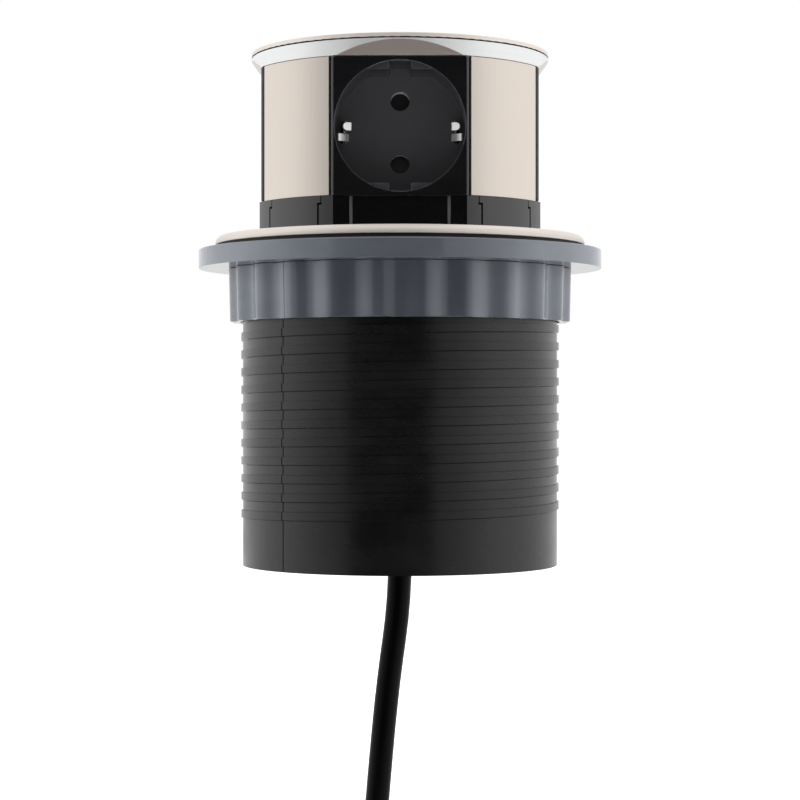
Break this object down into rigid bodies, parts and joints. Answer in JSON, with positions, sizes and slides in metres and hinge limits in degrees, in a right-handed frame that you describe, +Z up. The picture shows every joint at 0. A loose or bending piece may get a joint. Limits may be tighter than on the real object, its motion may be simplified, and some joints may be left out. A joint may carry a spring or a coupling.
{
  "type": "recessed power strip",
  "caption": "Round power tower that slides up out of a threaded barrel set in a worktop, with earthed sockets round its sides under a steel cap and a mains lead below.",
  "frame": {"origin": "on the tower's axis, in the seat plane where the bezel's gasket meets the worktop", "axes": "+Z up along the axis the turret slides on; socket 1 faces -Y, socket 2 +X, socket 3 +Y and socket 4 -X"},
  "size_m": [0.1434, 0.1925, 0.2861],
  "materials": {
    "brushed_steel": "brushed round the tower, satin",
    "plated_skirt": "satin chrome plating",
    "black_socket": "fine satin moulding",
    "black_body": "satin moulding",
    "inner_plastic": "matt",
    "grey_plastic": "glossy moulding",
    "gasket_rubber": "matt",
    "cord_rubber": "satin sheath",
    "plug_rubber": "satin moulding",
    "shutter_plastic": "matt",
    "spring_steel": "bright",
    "contact_brass": "bright",
    "plug_metal": "nickel plated",
    "screw_steel": "zinc plated"
  },
  "bodies": {
    "housing": {"housing_barrel": "black_body", "housing_base": "black_body", "base_screws": "screw_steel", "cord_gland": "cord_rubber", "cord_clamp": "inner_plastic", "bezel_ring": "brushed_steel", "seal_gasket": "gasket_rubber", "inner_lead": "cord_rubber", "cord_lead": "cord_rubber", "cord_coil": "cord_rubber", "cord_tail": "cord_rubber", "plug_body": "plug_rubber", "plug_pins": "plug_metal", "plug_earth_strips": "plug_metal"},
    "turret": {"turret_core": "inner_plastic", "turret_collar": "black_body", "turret_floor": "inner_plastic", "turret_screws": "screw_steel", "lead_clamp": "inner_plastic", "cap_skirt": "plated_skirt", "cap_plate": "brushed_steel", "line_bus": "contact_brass", "neutral_bus": "contact_brass", "earth_bus": "contact_brass", "contact_carrier": "inner_plastic", "steel_panel_1": "brushed_steel", "socket_face_1": "black_socket", "earth_clip_1": "spring_steel", "contact_pair_1": "contact_brass", "steel_panel_2": "brushed_steel", "socket_face_2": "black_socket", "earth_clip_2": "spring_steel", "contact_pair_2": "contact_brass", "steel_panel_3": "brushed_steel", "socket_face_3": "black_socket", "earth_clip_3": "spring_steel", "contact_pair_3": "contact_brass", "steel_panel_4": "brushed_steel", "socket_face_4": "black_socket", "earth_clip_4": "spring_steel", "contact_pair_4": "contact_brass"},
    "flange": {"pressure_flange": "grey_plastic"},
    "nut": {"ring_nut": "grey_plastic"},
    "shutter_1": {"shutter_1": "shutter_plastic"},
    "shutter_2": {"shutter_2": "shutter_plastic"},
    "shutter_3": {"shutter_3": "shutter_plastic"},
    "shutter_4": {"shutter_4": "shutter_plastic"}
  },
  "joints": [
    {"name": "turret_slide", "type": "slide", "parent": "housing", "child": "turret", "axis": [0, 0, 1], "range_m": [-0.055, 0], "deforming": ["inner_lead"]},
    {"name": "nut_slide", "type": "slide", "parent": "housing", "child": "flange", "axis": [0, 0, 1], "range_m": [-0.06, 0]},
    {"name": "nut_turn", "type": "hinge", "parent": "flange", "child": "nut", "pos_m": [0, 0, -0.0143], "axis": [0, 0, 1], "range_deg": [-3920, 0]},
    {"name": "shutter_turn_1", "type": "hinge", "parent": "turret", "child": "shutter_1", "pos_m": [0, -0.021, 0.0342], "axis": [0, -1, 0], "range_deg": [0, 42], "stiffness_Nm_per_rad": 0.004, "springref_deg": -22.92},
    {"name": "shutter_turn_2", "type": "hinge", "parent": "turret", "child": "shutter_2", "pos_m": [0.021, 0, 0.0342], "axis": [1, 0, 0], "range_deg": [0, 42], "stiffness_Nm_per_rad": 0.004, "springref_deg": -22.92},
    {"name": "shutter_turn_3", "type": "hinge", "parent": "turret", "child": "shutter_3", "pos_m": [0, 0.021, 0.0342], "axis": [0, 1, 0], "range_deg": [0, 42], "stiffness_Nm_per_rad": 0.004, "springref_deg": -22.92},
    {"name": "shutter_turn_4", "type": "hinge", "parent": "turret", "child": "shutter_4", "pos_m": [-0.021, 0, 0.0342], "axis": [-1, 0, 0], "range_deg": [0, 42], "stiffness_Nm_per_rad": 0.004, "springref_deg": -22.92}
  ],
  "couplings": [
    {"joint": "nut_slide", "follows": "nut_turn", "m_per_rad": 0.00087535}
  ]
}
